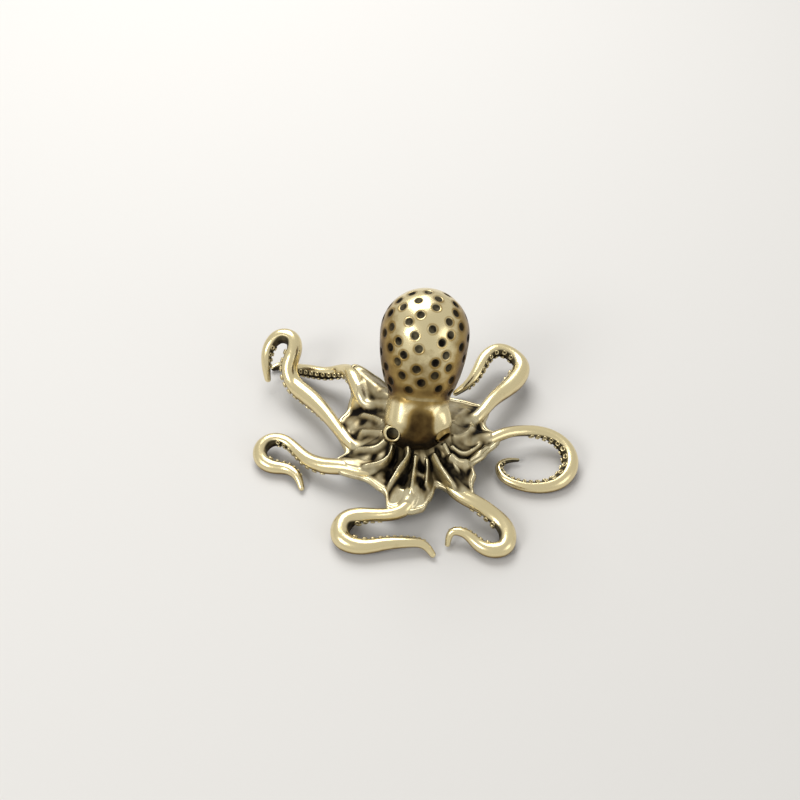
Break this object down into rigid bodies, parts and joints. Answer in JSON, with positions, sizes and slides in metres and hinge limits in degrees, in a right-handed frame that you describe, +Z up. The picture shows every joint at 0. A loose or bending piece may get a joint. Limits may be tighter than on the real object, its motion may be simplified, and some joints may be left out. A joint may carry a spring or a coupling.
{
  "type": "octopus figurine",
  "caption": "Small free-standing brass octopus ornament with a pitted egg-shaped body, drilled eyes and curled arms with rows of suckers.",
  "frame": {"origin": "on the ground under the middle of the figurine", "axes": "+Z up; the face looks towards -Y; +X to the viewer's right when the viewer looks at the face"},
  "size_m": [0.041, 0.0326, 0.0217],
  "materials": {
    "polished_brass": "polished over dark patina in the pits",
    "arm_brass": "polished on top, dark patina underneath",
    "web_brass": "patina rubbed back on the folds",
    "dark_brass": "dark patina"
  },
  "bodies": {
    "root": {"mantle": "polished_brass", "head": "polished_brass", "eye_left": "polished_brass", "eye_right": "polished_brass", "web": "web_brass", "front_arm": "arm_brass", "front_right_arm": "arm_brass", "right_arm": "arm_brass", "back_right_arm": "arm_brass", "back_arm": "arm_brass", "back_left_arm": "arm_brass", "left_arm": "arm_brass", "front_left_arm": "arm_brass", "front_suckers": "dark_brass", "front_right_suckers": "dark_brass", "right_suckers": "dark_brass", "back_right_suckers": "dark_brass", "back_suckers": "dark_brass", "back_left_suckers": "dark_brass", "left_suckers": "dark_brass", "front_left_suckers": "dark_brass"}
  },
  "joints": []
}
